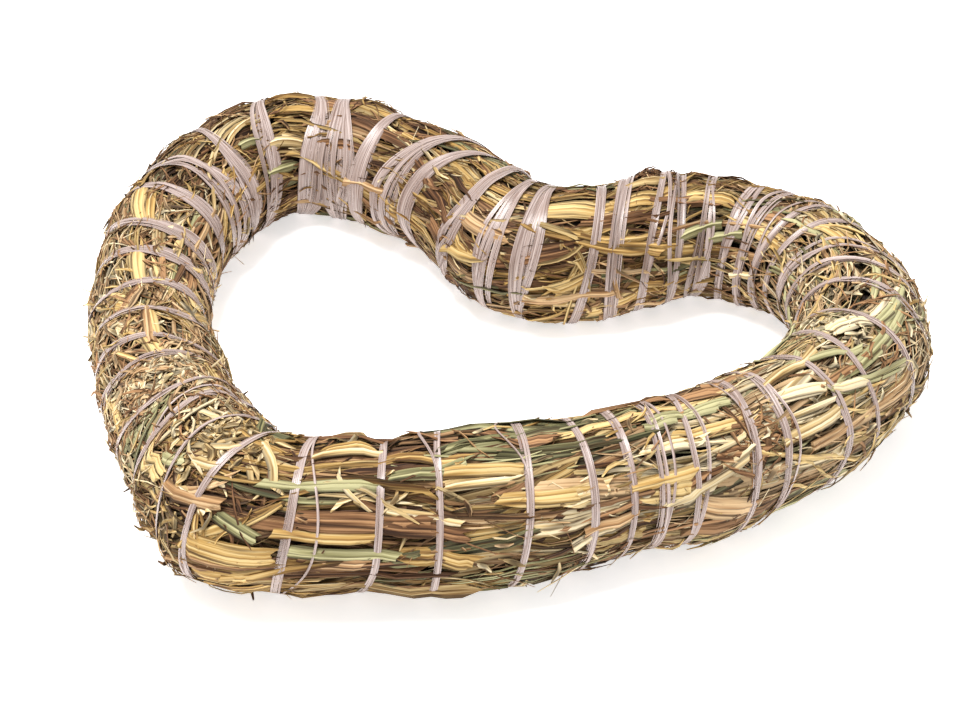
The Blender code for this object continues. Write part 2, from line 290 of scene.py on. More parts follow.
LUMPS = [
    # share and angle of the middle, height in millimetres, half length in shares, half width in degrees
    (0.0540, 150, -3.4, 0.0040, 45),
    (0.0800, 104, 1.8, 0.0120, 45),
    (0.4477, 66, 2.2, 0.0110, 35),
    (0.4750, 80, -1.0, 0.0050, 50),
    (0.6400, 62, 3.0, 0.0150, 35),
    (0.7120, 62, 1.0, 0.0120, 35),
    (0.9670, -8, 2.4, 0.0200, 40),
    (0.9460, -13, 1.4, 0.0110, 35),
    (0.9960, -26, 1.2, 0.0090, 30),
    (0.0450, -28, -1.8, 0.0180, 30),
    (0.1040, -38, 3.2, 0.0160, 32),
    (0.9600, 141, -3.6, 0.0240, 32),
    (0.2900, 12, 1.2, 0.0150, 40),
    (0.1800, -40, 1.6, 0.0180, 30),
    (0.1460, -42, -1.2, 0.0100, 30),
    (0.4850, 236, 2.0, 0.0220, 30),
    (0.5260, 222, 1.6, 0.0120, 30),
    (0.6750, 241, 2.0, 0.0150, 30),
]
SLOW_WAVE = 0.45


def swell(share, angle):
    """The unevenness of packed straw in metres: a slow wave, and the lumps and dents that show."""
    way = math.tau * share
    rise = SLOW_WAVE * (np.sin(19 * way + 2 * np.sin(angle)) + np.sin(13 * way - 3 * angle))
    for place, facing, height, half_length, half_width in LUMPS:
        along = ((share - place + 0.5) % 1 - 0.5) / half_length
        turned = (np.degrees(angle) - facing + 180) % 360 - 180
        rise = rise + height * np.exp(-along * along - (turned / half_width) ** 2)
    return rise * MILLIMETRE


SHIFT = np.zeros(3)
LOWEST = 0.15 * MILLIMETRE
FLOOR_ROOM = 1.2 * MILLIMETRE
TOP_ROOM = 1.8 * MILLIMETRE
OVER_SOLIDS = 1.028
FLAT_TOP = cad_high[2] * OVER_SOLIDS - TOP_ROOM


def place_on_skin(share, angle, height):
    """A place on the bound bundle in the frame, kept above the table and below the solids' top."""
    point = bare_skin(share, angle, waist(share, angle) + swell(share, angle) + height)
    level = point[..., 2]
    pressed = LOWEST + FLOOR_ROOM * np.exp((level - FLOOR_ROOM) / FLOOR_ROOM)
    level = np.where(level < FLOOR_ROOM, np.minimum(pressed, FLOOR_ROOM + LOWEST), level + LOWEST)
    over = np.maximum(level - FLAT_TOP, 0)
    point[..., 2] = np.minimum(level, FLAT_TOP) + TOP_ROOM * (1 - np.exp(-over / TOP_ROOM))
    return point - SHIFT


ring_of_shares = np.linspace(0, 1, 1200)
rim = np.concatenate([bare_skin(ring_of_shares, a) for a in (0.0, math.pi)])
solid_low, solid_high = (np.array(corner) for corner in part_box("straw_bundle"))
SHIFT = ((rim.min(0) + rim.max(0)) / 2 - (solid_low + solid_high) / 2) * [1, 1, 0]
print("shift between the drawing and the frame, mm:", (SHIFT / MILLIMETRE).round(3))
camera.location = Vector(AIM) - Vector(SHIFT) + back * DISTANCE

# %% [markdown]
# ## Modelling one stalk of each kind
# Threshed straw is a mix: long leaf blades folded along their rib, hollow stalks that were
# crushed flat or split open, torn strips, hair-thin fibres and chaff. Nine masters cover
# that. Each starts as a small filled circle that faces along X and is extruded station by
# station, as by hand; a blade's rib is then pushed down, its ends are torn into points, and a
# whole stalk's end is inset and sunk so that it looks hollow. A master stays at a few dozen
# faces, because thousands of copies of it are laid.

# %% Modelling one stalk of each kind
ORIGIN = (0, 0, 0)


def start_section(sides, width, thickness, x):
    """A flat filled section that faces along X, left in edit mode with all of it selected."""
    bpy.ops.object.select_all(action="DESELECT")
    bpy.ops.mesh.primitive_circle_add(vertices=sides, radius=0.5, fill_type="NGON",
                                      rotation=(0, math.pi / 2, 0))
    bpy.ops.object.transform_apply(location=False, rotation=True, scale=False)
    bpy.ops.object.mode_set(mode="EDIT")
    bpy.ops.mesh.select_all(action="SELECT")
    bpy.ops.transform.rotate(value=math.pi / sides, orient_axis="X", center_override=ORIGIN)
    bpy.ops.transform.resize(value=(1, width, thickness), center_override=ORIGIN)
    bpy.ops.transform.translate(value=(x, 0, 0))


def model_stalk(name, sides, stations):
    """A stalk along X from stations of (x, width, thickness, sideways, up), in millimetres."""
    rows = np.array(stations, float) * MILLIMETRE
    start_section(sides, rows[0][1], rows[0][2], rows[0][0])
    for before, here in zip(rows[:-1], rows[1:]):
        move = (here[0] - before[0], here[3] - before[3], here[4] - before[4])
        bpy.ops.mesh.extrude_region_move(TRANSFORM_OT_translate={"value": move})
        bpy.ops.transform.resize(value=(1, here[1] / before[1], here[2] / before[2]),
                                 center_override=(here[0], here[3], here[4]))
    bpy.context.object.name = name
    return bpy.context.object


def push_points(stalk, chosen, move):
    """Moves the points that chosen(x, y, z) picks, in millimetres."""
    bpy.ops.mesh.select_all(action="DESELECT")
    edit = bmesh.from_edit_mesh(stalk.data)
    for point in edit.verts:
        if chosen(*(point.co / MILLIMETRE)):
            point.select = True
    edit.select_flush(True)
    bmesh.update_edit_mesh(stalk.data)
    bpy.ops.transform.translate(value=tuple(np.array(move) * MILLIMETRE))


def tear_end(stalk, end, tears):
    """Pulls the points of one end out or in by where they are across: (from, to, how far)."""
    for low, high, pull in tears:
        push_points(stalk, lambda x, y, z: abs(x - end) < 0.01 and low <= y < high, (pull, 0, 0))
        end_pulled = end + pull
        push_points(stalk, lambda x, y, z: abs(x - end_pulled) < 0.01 and low <= y < high, (0, 0, 0.05))


def read_values(items, key, width=1, kind=float):
    """One value of every point, corner or face of a mesh, as a plain array."""
    values = np.zeros(len(items) * width, kind)
    items.foreach_get(key, values)
    return values


def finish_stalk(stalk):
    """Closes the modelling and gives the master's points and faces as plain arrays."""
    bpy.ops.mesh.select_all(action="SELECT")
    bpy.ops.mesh.normals_make_consistent(inside=False)
    bpy.ops.object.mode_set(mode="OBJECT")
    mesh = stalk.data
    points = read_values(mesh.vertices, "co", 3).reshape(-1, 3)
    corners = read_values(mesh.loops, "vertex_index", kind=int)
    counts = read_values(mesh.polygons, "loop_total", kind=int)
    across = np.abs(points[:, 1])
    master = {"points": points, "corners": corners, "counts": counts,
              "edge": across / across.max(), "triangles": int((counts - 2).sum())}
    print(stalk.name, "has", master["triangles"], "triangles")
    bpy.data.objects.remove(stalk)
    return master


MASTERS = {}
blade = model_stalk("leaf_blade", 6, [
    (-22, 3.0, 0.3, 0.4, 0), (-18, 4.3, 0.35, 0.2, 0), (-14, 4.8, 0.4, 0.1, 0.1), (-10, 5, 0.4, 0, 0.1),
    (-6, 5.1, 0.4, 0, 0), (-2, 5.2, 0.4, 0, 0.1), (2, 5.2, 0.4, -0.1, 0.1), (6, 5.1, 0.4, -0.1, 0),
    (10, 4.9, 0.35, -0.2, 0), (14, 4.6, 0.35, -0.1, 0.1), (18, 4.1, 0.3, 0.1, 0.1),
    (22, 3.2, 0.25, 0.4, 0.2)])
push_points(blade, lambda x, y, z: abs(y) < 0.6 and abs(x) < 20, (0, 0, -0.5))
tear_end(blade, 22, [(0.9, 3, 2.8), (-3, 0, -1.6)])
tear_end(blade, -22, [(-2, 0, -2.2), (0.9, 3, 1.4)])
MASTERS["leaf_blade"] = finish_stalk(blade)

broad = model_stalk("broad_blade", 8, [
    (-18, 5.6, 0.35, 0.2, 0), (-14, 6.1, 0.4, 0.1, 0), (-10, 6.4, 0.45, 0, 0.1), (-6, 6.6, 0.45, 0, 0),
    (-2, 6.6, 0.45, 0, 0), (2, 6.5, 0.45, 0, 0.1), (6, 6.4, 0.45, 0, 0), (10, 6.2, 0.4, -0.1, 0),
    (14, 6.0, 0.35, 0, 0), (18, 5.8, 0.3, 0, 0.1)])
push_points(broad, lambda x, y, z: 0.8 < abs(y) < 2 and abs(x) < 17, (0, 0, 0.4))
tear_end(broad, 18, [(1.5, 4, 1.8), (0, 1.5, -2.4), (-1.5, 0, 1.0), (-4, -1.5, -1.0)])
tear_end(broad, -18, [(1.5, 4, 1.5), (0, 1.5, -1.8), (-1.5, 0, 1.6), (-4, -1.5, -2.0)])
MASTERS["broad_blade"] = finish_stalk(broad)

split = model_stalk("split_stalk", 6, [
    (-20, 3.2, 0.45, 0, 0), (-14, 3.6, 0.5, 0.1, 0.1), (-8, 3.6, 0.5, 0, 0), (-2, 3.5, 0.5, 0, 0),
    (4, 3.6, 0.5, -0.1, 0.1), (10, 3.6, 0.5, -0.1, 0.1), (15, 3.4, 0.5, 0, 0), (20, 2.8, 0.4, 0.2, 0)])
push_points(split, lambda x, y, z: abs(y) < 0.5, (0, 0, 0.75))
tear_end(split, 20, [(0.3, 3, 1.8)])
tear_end(split, -20, [(-3, 0, -1.6)])
MASTERS["split_stalk"] = finish_stalk(split)

HOLLOW_WALL, HOLLOW_DEPTH = 0.45 * MILLIMETRE, 2.5 * MILLIMETRE
whole = model_stalk("whole_stalk", 6, [
    (-21, 3.0, 1.5, 0, 0), (-14, 3.1, 1.5, 0.1, 0), (-8, 3.1, 1.5, 0.1, 0), (-3, 3.0, 1.4, 0, 0),
    (2, 3.0, 1.4, 0, 0), (3.2, 3.7, 1.9, 0, 0), (4.6, 3.0, 1.5, 0, 0), (10, 2.9, 1.4, -0.1, 0),
    (15, 2.9, 1.4, -0.1, 0), (21, 3.0, 1.5, 0, 0)])
bpy.ops.mesh.inset(thickness=HOLLOW_WALL)
bpy.ops.transform.translate(value=(-HOLLOW_DEPTH, 0, 0))
MASTERS["whole_stalk"] = finish_stalk(whole)

MASTERS["torn_strip"] = finish_stalk(model_stalk("torn_strip", 4, [
    (-18, 0.5, 0.15, 0.5, 0), (-13, 1.6, 0.3, 0.1, 0.1), (-8, 1.9, 0.35, 0, 0), (-3, 2.0, 0.35, 0, 0),
    (3, 1.9, 0.35, -0.1, 0.1), (8, 1.8, 0.35, -0.2, 0.1), (13, 1.7, 0.3, 0, 0), (18, 0.4, 0.15, 0.7, 0.2)]))
MASTERS["thin_strip"] = finish_stalk(model_stalk("thin_strip", 4, [
    (-15, 0.5, 0.2, 0.3, 0), (-9, 0.9, 0.3, 0, 0), (-3, 1.0, 0.3, -0.2, 0.1), (3, 1.0, 0.3, 0, 0),
    (9, 0.8, 0.3, 0.2, 0.1), (15, 0.4, 0.2, 0.1, 0)]))
MASTERS["fibre"] = finish_stalk(model_stalk("fibre", 3, [
    (-11, 0.25, 0.2, 0, 0), (-5, 0.5, 0.35, 0.3, 0), (1, 0.55, 0.35, 0, 0.1), (6, 0.45, 0.35, -0.3, 0),
    (11, 0.2, 0.2, 0.1, 0.1)]))
MASTERS["curled_wisp"] = finish_stalk(model_stalk("curled_wisp", 4, [
    (-10, 0.5, 0.15, 0, 0), (-7, 1.1, 0.3, 0.8, 0.3), (-4, 1.3, 0.3, 0.9, 0.2), (0, 1.2, 0.3, 0, 0),
    (4, 1.1, 0.3, -0.9, 0.3), (7, 0.9, 0.3, -0.6, 0.6), (10, 0.4, 0.15, 0.4, 1.2)]))
MASTERS["chaff_flake"] = finish_stalk(model_stalk("chaff_flake", 4, [
    (-4, 0.6, 0.2, 0, 0), (-1.5, 1.7, 0.4, 0.1, 0.2), (1.5, 1.9, 0.4, 0, 0), (4, 0.7, 0.2, -0.1, 0.3)]))

# %% [markdown]
# ## Laying copies on the ring
# A copy of a master is laid by arithmetic on all of its points at once: scaled, twisted,
# bowed, turned away from the ring's direction, tilted so that one end dives under its
# neighbours, and then carried onto the curved skin. Under the twine every copy is pressed
# down, and long ones get their points drawn together there, so that they can bend in it.
# Each copy also carries what its material needs: a UV in metres along and across the straw, a
# tone and a depth that differ from straw to straw, and how near each point is to the rim; the
# depth and the nearness to the rim set how much painted shade the straw gets.

# %% How wide the band of twine is
HALF_BAND_SHARES = (0.0, 0.15, 0.27, 0.38, 0.46, 0.56, 0.68, 0.80, 0.92, 1.0)
HALF_BAND = (0.8, 0.9, 1.1, 1.2, 1.6, 1.6, 1.6, 1.4, 1.2, 0.8)
# turn: the angle where its strands fan out, over how many degrees, and how far to each side
FANS = {
    0: (-15, 30, 0.6), 21: (195, 40, 1.8), 26: (165, 50, 1.4), 27: (165, 50, 1.6), 28: (165, 55, 2.0),
    29: (155, 55, 2.8), 30: (165, 55, 3.2), 31: (170, 55, 3.0), 32: (165, 60, 4.6), 33: (170, 60, 4.4),
    34: (165, 55, 3.4), 35: (165, 55, 4.8), 36: (160, 55, 4.0), 37: (150, 50, 3.0), 38: (150, 50, 2.4),
    39: (150, 45, 2.0), 40: (150, 45, 1.6),
}
# a strand that leaves the band: turn, angle, over how many degrees, how far in millimetres
STRAYS = (
    (1, 20, 60, 7.5), (3, 115, 30, -5.0), (4, 105, 25, -6.0), (7, 60, 60, 3.0), (8, 60, 50, 4.0),
    (9, 120, 40, -3.0), (10, 30, 50, 3.0), (14, 60, 50, -4.0), (16, 100, 60, 3.5), (18, 100, 50, 3.5),
    (19, 100, 50, 3.0), (20, 110, 50, -3.5), (21, 150, 40, -3.0), (22, 140, 50, 3.5), (23, 120, 45, -4.5),
    (26, 150, 55, -5.0), (27, 150, 50, 4.0), (32, 150, 50, -6.0), (34, 120, 40, -3.0), (36, 85, 45, -4.0),
    (38, 110, 60, 3.5), (39, 120, 50, 3.0), (41, 80, 60, 3.0), (43, 80, 60, 3.0), (45, 90, 50, -3.0),
)


def near_facing(turn, number, facing, spread):
    """1 where that turn has that facing, and less the more degrees the twine is away from it."""
    apart = (turn - number - (facing - 90) / 360 + TURNS / 2) % TURNS - TURNS / 2
    return np.exp(-(apart * 360 / spread) ** 2)


def stray(turn):
    """How far the two loose strands are off the band in metres, after so many turns."""
    off = sum(far * near_facing(turn, number, facing, spread) for number, facing, spread, far in STRAYS)
    return off * MILLIMETRE


def half_band(turn):
    """Half the width of the twine's band in metres, after so many turns."""
    half = np.interp(np.interp(turn, LAPS, LAP_PLACES) % 1, HALF_BAND_SHARES, HALF_BAND)
    whole_way = math.tau * turn / TURNS
    half = half * (1 + 0.25 * np.sin(17 * whole_way) * np.sin(7 * whole_way + 1))
    for number, (facing, spread, wider) in FANS.items():
        half = half + wider * near_facing(turn, number, facing, spread)
    return half * MILLIMETRE


# %% Laying copies of a master
DRAWN_TOGETHER = 0.5
PRESSED_TO = -0.55 * MILLIMETRE
PRESS_EASE = 5.5 * MILLIMETRE
LONG_MASTER = 12 * MILLIMETRE
# straw this high gets no painted shade, and the painted shade deepens down to so much further in
OUTERMOST, DARK_WITHIN = -0.6 * MILLIMETRE, 2.4 * MILLIMETRE
# the map moves on by this from one copy to the next, so that no two have the same grain
NEXT_GRAIN = 0.0137


def lay(master, lie, pressed=1.0):
    """Copies of a master, each where and how its row of the lie says, as one set of arrays."""
    col = {key: np.asarray(value, float)[:, None] for key, value in lie.items()}
    x, y, z = (master["points"][:, i][None, :] for i in range(3))
    reach = np.abs(master["points"][:, 0]).max()
    x, y, z = x * col["length"], y * col["width"], z * col["width"]
    uv_along, uv_across = x, y
    go = x / (reach * col["length"])
    roll = col["roll"] + col["twist"] * go
    y, z = y * np.cos(roll) - z * np.sin(roll), y * np.sin(roll) + z * np.cos(roll)
    y = y + col["bow"] * go * go
    along = x * np.cos(col["heading"]) - y * np.sin(col["heading"])
    across = x * np.sin(col["heading"]) + y * np.cos(col["heading"])
    share = col["share"] + along / (RING_LENGTH * stretch(col["share"], col["angle"]))
    angle = col["angle"] + across / at(RADIUS, col["share"])
    rise = col["height"] + col["tilt"] * go + col["kick"] * np.clip(go * np.sign(col["tilt"]), 0, 1) ** 3
    turn, off, gap = off_twine(share, angle)
    if reach > LONG_MASTER:
        share = share - DRAWN_TOGETHER * gap * np.sin(math.tau * off) / math.tau
        turn, off, gap = off_twine(share, angle)
    away = np.abs(off) * gap * RING_LENGTH * stretch(share, angle)
    press = eased(np.clip(1 - (away - half_band(turn)) / PRESS_EASE, 0, 1) * pressed)
    level = rise * (1 - press) + np.minimum(rise, PRESSED_TO) * press
    copies = len(col["share"])
    offset = (np.arange(copies) * len(master["points"]))[:, None]
    uv_across = uv_across + np.arange(copies)[:, None] * NEXT_GRAIN
    # how far down a straw lies sets how much painted shade its colour gets
    depth = np.clip(1 + (rise - OUTERMOST) / DARK_WITHIN, 0, 1)
    return {
        "points": place_on_skin(share, angle, level + z).reshape(-1, 3),
        "corners": (master["corners"][None, :] + offset).ravel(),
        "counts": np.tile(master["counts"], copies),
        "uv": np.stack([uv_along + 0 * go, uv_across + 0 * go], axis=-1).reshape(-1, 2),
        "tone": np.broadcast_to(col["tone"], x.shape).ravel(),
        "depth": (depth * np.ones_like(x)).ravel(),
        "edge": np.tile(master["edge"], copies),
    }


def joined(sets):
    """Several sets of arrays as one."""
    base, corners = 0, []
    for part in sets:
        corners.append(part["corners"] + base)
        base += len(part["points"])
    whole_set = {key: np.concatenate([part[key] for part in sets])
                 for key in ("points", "counts", "uv", "tone", "depth", "edge")}
    whole_set["corners"] = np.concatenate(corners)
    return whole_set


def add_values(mesh, key, values):
    """Gives each point of a mesh a number that its material reads."""
    attribute = mesh.attributes.new(key, "FLOAT", "POINT")
    attribute.data.foreach_set("value", np.asarray(values, np.float32))


def add_piece(name, arrays, material, *nodes, smooth_below=38):
    """One mesh object from the arrays, riding on the part, in place of the named solids."""
    mesh = bpy.data.meshes.new(name)
    counts = arrays["counts"]
    mesh.vertices.add(len(arrays["points"]))
    mesh.vertices.foreach_set("co", arrays["points"].astype(np.float32).ravel())
    mesh.loops.add(len(arrays["corners"]))
    mesh.loops.foreach_set("vertex_index", arrays["corners"].astype(np.int32))
    mesh.polygons.add(len(counts))
    mesh.polygons.foreach_set("loop_start", np.r_[0, np.cumsum(counts)[:-1]].astype(np.int32))
    mesh.update(calc_edges=True)
    lay_map = mesh.uv_layers.new(name="along_and_across")
    lay_map.data.foreach_set("uv", arrays["uv"][arrays["corners"]].astype(np.float32).ravel())
    for key in ("tone", "depth", "edge"):
        add_values(mesh, key, arrays[key])
    mesh.validate()
    mesh.materials.append(material)
    piece = bpy.data.objects.new(name, mesh)
    bpy.context.scene.collection.objects.link(piece)
    bpy.ops.object.select_all(action="DESELECT")
    piece.select_set(True)
    bpy.context.view_layer.objects.active = piece
    bpy.ops.object.shade_smooth_by_angle(angle=math.radians(smooth_below))
    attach(piece, "root")
    if nodes:
        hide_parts(*nodes)
    print(name, "triangles:", int((counts - 2).sum()))
    return piece


# %% [markdown]
# ## Finishes
# Dry straw is a waxy skin over long fibres. Fine streaks run along it, splits open between the
# fibres and are painted dark with the shade inside them, broad stretches change from golden to
# brown, and spots of mould and soil darken it. One node group makes that pattern from the
# straw's own UV, so it follows every bend, and each finish places it with its own three colours.
# A straw's tone picks its colour between them. Painted shade darkens what lies far inside the
# bundle, by the straw's depth, and darkens each straw along its edges, where it meets the next.

# %% Small helpers for nodes
def linear(red, green, blue):
    """A colour given as it looks on screen, 0 to 255, as the shader wants it."""
    return tuple(((c / 255 + 0.055) / 1.055) ** 2.4 for c in (red, green, blue)) + (1,)


def math_node(tree, operation, first, second, clamp=False):
    """A Math node; each input is a number or another node's output."""
    node = tree.nodes.new("ShaderNodeMath")
    node.operation = operation
    node.use_clamp = clamp
    for socket, value in zip(node.inputs, (first, second)):
        if isinstance(value, (int, float)):
            socket.default_value = value
        else:
            tree.links.new(value, socket)
    return node.outputs[0]


def line_node(tree, value, factor, offset, clamp=False):
    """value times factor plus offset."""
    return math_node(tree, "ADD", math_node(tree, "MULTIPLY", value, factor), offset, clamp)


def sum_node(tree, start, *parts):
    """A starting number plus each value times its weight."""
    for value, weight in parts:
        start = math_node(tree, "ADD", start, math_node(tree, "MULTIPLY", value, weight))
    return start


def mix_node(tree, share, first, second, blend="MIX"):
    """A colour Mix node; colours are values or outputs."""
    node = tree.nodes.new("ShaderNodeMix")
    node.data_type = "RGBA"
    node.blend_type = blend
    for socket, value in zip((node.inputs[0], node.inputs[6], node.inputs[7]), (share, first, second)):
        if isinstance(value, bpy.types.NodeSocket):
            tree.links.new(value, socket)
        else:
            socket.default_value = value
    return node.outputs[2]


def noise_node(tree, vector, along, across, detail=3.0, roughness=0.6):
    """A Noise texture with so many features to the metre along and across the straw."""
    mapping = tree.nodes.new("ShaderNodeMapping")
    mapping.inputs["Scale"].default_value = (along, across, 1)
    tree.links.new(vector, mapping.inputs["Vector"])
    noise = tree.nodes.new("ShaderNodeTexNoise")
    set_inputs(noise, {"Scale": 1, "Detail": detail, "Roughness": roughness})
    tree.links.new(mapping.outputs[0], noise.inputs["Vector"])
    return noise.outputs["Fac"]


def attribute_node(tree, name):
    """A number that each point of the piece carries."""
    node = tree.nodes.new("ShaderNodeAttribute")
    node.attribute_name = name
    return node.outputs["Fac"]


def uv_node(tree):
    """The piece's own map, in metres along and across the straw."""
    node = tree.nodes.new("ShaderNodeUVMap")
    node.uv_map = "along_and_across"
    return node.outputs[0]


def add_bump(tree, shader, height, strength, distance):
    """Lets a height raise and sink the surface in the shader; the distance is in metres."""
    bump = tree.nodes.new("ShaderNodeBump")
    set_inputs(bump, {"Strength": strength, "Distance": distance})
    tree.links.new(height, bump.inputs["Height"])
    tree.links.new(bump.outputs[0], shader.inputs["Normal"])


# %% The group that makes straw's streaks
# the colour of a split is painted shade, the dark inside the crack; the spots are real mould and soil
SPLIT_SHADE_COLOUR, SPOT_COLOUR = linear(52, 32, 18), linear(84, 54, 32)
straw_group = bpy.data.node_groups.new("straw_streaks", "ShaderNodeTree")
for way, kind, names in (("INPUT", "Color", ("Dark", "Body", "Light")), ("INPUT", "Float", ("Spots",)),
                         ("OUTPUT", "Color", ("Color",)), ("OUTPUT", "Float", ("Roughness", "Height"))):
    for socket_name in names:
        straw_group.interface.new_socket(socket_name, in_out=way, socket_type="NodeSocket" + kind)
g_in = straw_group.nodes.new("NodeGroupInput")
g_out = straw_group.nodes.new("NodeGroupOutput")
uv = uv_node(straw_group)
fine = noise_node(straw_group, uv, 40, 1400, 2)
strands = noise_node(straw_group, uv, 26, 880, 2)
broad = noise_node(straw_group, uv, 40, 150, 2)
blotch = noise_node(straw_group, uv, 170, 330, 4, 0.7)
tone = attribute_node(straw_group, "tone")
level = sum_node(straw_group, -2.07, (tone, 0.80), (strands, 1.20), (broad, 0.70), (fine, 2.60))
lower_half = line_node(straw_group, level, 2, 0, True)
upper_half = line_node(straw_group, level, 2, -1, True)
body = mix_node(straw_group, lower_half, g_in.outputs["Dark"], g_in.outputs["Body"])
body = mix_node(straw_group, upper_half, body, g_in.outputs["Light"])
# a split shows where a long slow noise crosses its middle value; it is painted dark as the shade inside it
crossing = noise_node(straw_group, uv, 14, 520, 1)
crossing = math_node(straw_group, "ABSOLUTE", line_node(straw_group, crossing, 1, -0.5), 0)
split_line = line_node(straw_group, crossing, -11, 1, True)
split_here = line_node(straw_group, noise_node(straw_group, uv, 50, 300, 1), 6, -2.4, True)
split_line = math_node(straw_group, "MULTIPLY", split_line, split_here)
body = mix_node(straw_group, math_node(straw_group, "MULTIPLY", split_line, 0.9), body, SPLIT_SHADE_COLOUR)
spot = line_node(straw_group, blotch, 7, -4.3, True)
spot = math_node(straw_group, "MULTIPLY", spot, g_in.outputs["Spots"])
body = mix_node(straw_group, spot, body, SPOT_COLOUR)
# painted shade: straw that lies deeper in the bundle is darkened, as the shade there darkens it
depth = attribute_node(straw_group, "depth")
painted_depth_shade = line_node(straw_group, math_node(straw_group, "POWER", depth, 1.6), 0.86, 0.14, True)
body = mix_node(straw_group, 1.0, body, painted_depth_shade, "MULTIPLY")
# painted shade along each straw's edges, where it meets its neighbours
rim = math_node(straw_group, "POWER", attribute_node(straw_group, "edge"), 4)
body = mix_node(straw_group, 1.0, body, line_node(straw_group, rim, -0.70, 1), "MULTIPLY")
rough = line_node(straw_group, fine, -0.25, 0.80)
relief = sum_node(straw_group, 0, (strands, 0.7), (fine, 0.4), (split_line, -0.5))
for socket_name, value in (("Color", body), ("Roughness", rough), ("Height", relief)):
    straw_group.links.new(value, g_out.inputs[socket_name])


# %% The straw finishes
def straw_finish(name, dark, middle, light, spots):
    """One kind of straw: the shared streaks with its own colours."""
    made, shader = new_material(name)
    tree = made.node_tree
    group = tree.nodes.new("ShaderNodeGroup")
    group.node_tree = straw_group
    set_inputs(group, {"Dark": linear(*dark), "Body": linear(*middle), "Light": linear(*light),
                       "Spots": spots})
    tree.links.new(group.outputs["Color"], shader.inputs["Base Color"])
    tree.links.new(group.outputs["Roughness"], shader.inputs["Roughness"])
    set_inputs(shader, {"Specular IOR Level": 0.15})
    add_bump(tree, shader, group.outputs["Height"], 0.8, 0.4 * MILLIMETRE)
    return made


FINISHES = {
    "golden": straw_finish("golden_straw", (98, 66, 34), (176, 140, 80), (214, 186, 130), 0.5),
    "tan": straw_finish("tan_straw", (92, 62, 38), (162, 124, 84), (206, 174, 132), 0.6),
    "brown": straw_finish("brown_straw", (52, 32, 21), (117, 82, 54), (170, 129, 90), 0.7),
    "green": straw_finish("green_straw", (62, 62, 42), (132, 126, 86), (184, 178, 134), 0.5),
    "pale": straw_finish("pale_straw", (128, 98, 58), (202, 174, 122), (234, 216, 178), 0.3),
}
# the straw inside is coloured nearly black with painted shade, as it lies in shadow
SHADED_CORE_FINISH = straw_finish("straw_inside", (16, 10, 6), (34, 22, 13), (56, 38, 22), 0.8)

# %% [markdown]
# ## The imported straw inside
# Between the outer straws the eye falls on more straw, deep in shadow. A ring a little under the
# skin closes the bundle there, its nearly black colour painted shade. It starts as a flat grid,
# and its points are carried onto the bundle as the straws' are, so it has the same waists, then
# its two seams are merged.

# %% The imported straw inside
CORE_DEPTH = 3.4 * MILLIMETRE
CORE_RELIEF = 0.35 * MILLIMETRE
CORE_WELD = 0.02 * MILLIMETRE
bpy.ops.object.select_all(action="DESELECT")
bpy.ops.mesh.primitive_grid_add(x_subdivisions=564, y_subdivisions=36, size=1)
core = bpy.context.object
core.name = "packed_straw_inside"
flat = read_values(core.data.vertices, "co", 3).reshape(-1, 3)
core_share, core_angle = (flat[:, 0] + 0.5) % 1, (flat[:, 1] + 0.5) * math.tau
rough_height = -CORE_DEPTH + CORE_RELIEF * np.sin(9 * core_angle + 300 * math.tau * core_share)
core.data.vertices.foreach_set("co", place_on_skin(core_share, core_angle, rough_height).ravel())
core_map = core.data.uv_layers[0]
core_map.name = "along_and_across"
core_corners = read_values(core.data.loops, "vertex_index", kind=int)
core_uv = np.c_[(flat[:, 0] + 0.5) * RING_LENGTH, flat[:, 1] * math.tau * BUNDLE_THICKNESS / 2]
core_map.data.foreach_set("uv", core_uv[core_corners].ravel())
bpy.ops.object.mode_set(mode="EDIT")
bpy.ops.mesh.select_all(action="SELECT")
bpy.ops.mesh.remove_doubles(threshold=CORE_WELD)
bpy.ops.mesh.normals_make_consistent(inside=False)
bpy.ops.object.mode_set(mode="OBJECT")
# the inside ring's depth of 0.8 gives it some of the straws' painted depth shade as well
for key, value in (("tone", 0.4), ("depth", 0.8), ("edge", 0.0)):
    add_values(core.data, key, np.full(len(core.data.vertices), value))
core.data.materials.append(SHADED_CORE_FINISH)
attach(core, "root")
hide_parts("straw_bundle")
print("inside ring:", len(core.data.polygons), "faces")

# %% [markdown]
# ## Thousands of straws
# The straw differs along the ring. Long broad blades lie flat along the front and the cleft,
# fine greenish stalks cross each other in the right lobe, and the left side down to the tip
# is chopped short and lies every way. The table below says that at a few places, and each
# straw reads its own values between them. Straws aren't strewn one by one: a stalk that
# splits leaves a bunch of strips side by side, of one colour and one heading, so they are
# laid in bunches, layer by layer, the deepest first.

